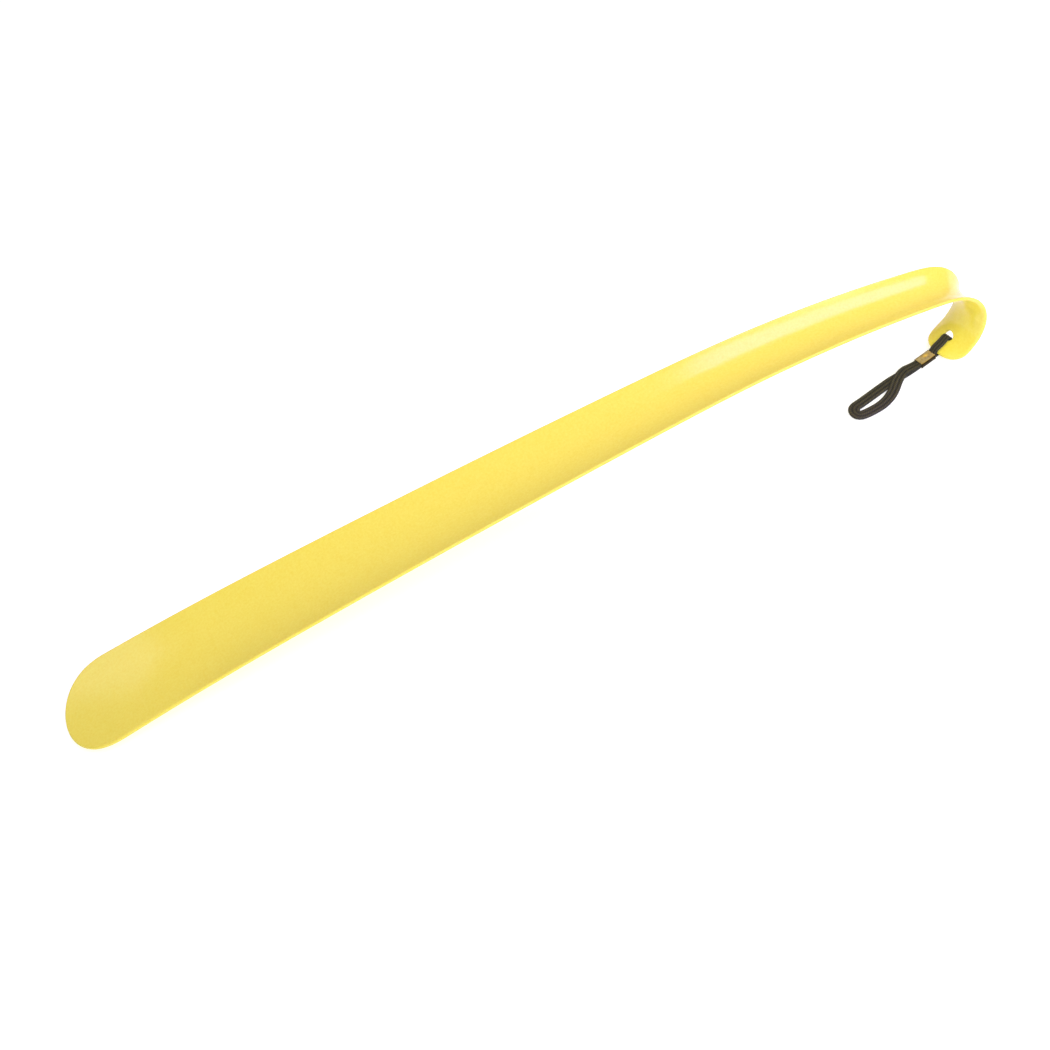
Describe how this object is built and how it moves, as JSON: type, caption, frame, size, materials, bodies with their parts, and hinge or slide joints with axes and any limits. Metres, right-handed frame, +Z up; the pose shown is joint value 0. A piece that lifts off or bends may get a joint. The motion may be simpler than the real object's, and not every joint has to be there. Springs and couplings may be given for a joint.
{
  "type": "long shoehorn",
  "caption": "Long one-piece moulded shoehorn with a broad rounded blade, channel-section shaft, curled handle end and a clipped strap loop.",
  "frame": {"origin": "on the table under the middle of the horn, lying at rest on its blade tip and the rim of its curled end", "axes": "+X along the horn from the blade to the curled handle, +Y across the blade, +Z up, on the side that the channel opens to"},
  "size_m": [0.5427, 0.057, 0.0593],
  "materials": {
    "yellow_plastic": "glossy injection-moulded yellow plastic",
    "black_strap": "black flat woven cord with lengthwise ribs",
    "brass_clip": "gold-coloured plated sheet metal, pressed"
  },
  "bodies": {
    "horn": {"moulded_horn": "yellow_plastic", "strap_eye_loop": "black_strap"},
    "clip": {"crimp_clip": "brass_clip", "strap_inside_clip": "black_strap"},
    "hand_loop": {"strap_hand_loop": "black_strap"}
  },
  "joints": [
    {"name": "clip_fold", "type": "hinge", "parent": "horn", "child": "clip", "pos_m": [0.24526, -0.00273, 0.00185], "axis": [-0.2419, 0.9703, 0], "range_deg": [-45, 20]},
    {"name": "loop_fold", "type": "hinge", "parent": "clip", "child": "hand_loop", "pos_m": [0.23376, -0.0056, 0.00185], "axis": [-0.2419, 0.9703, 0], "range_deg": [-60, 35]}
  ]
}
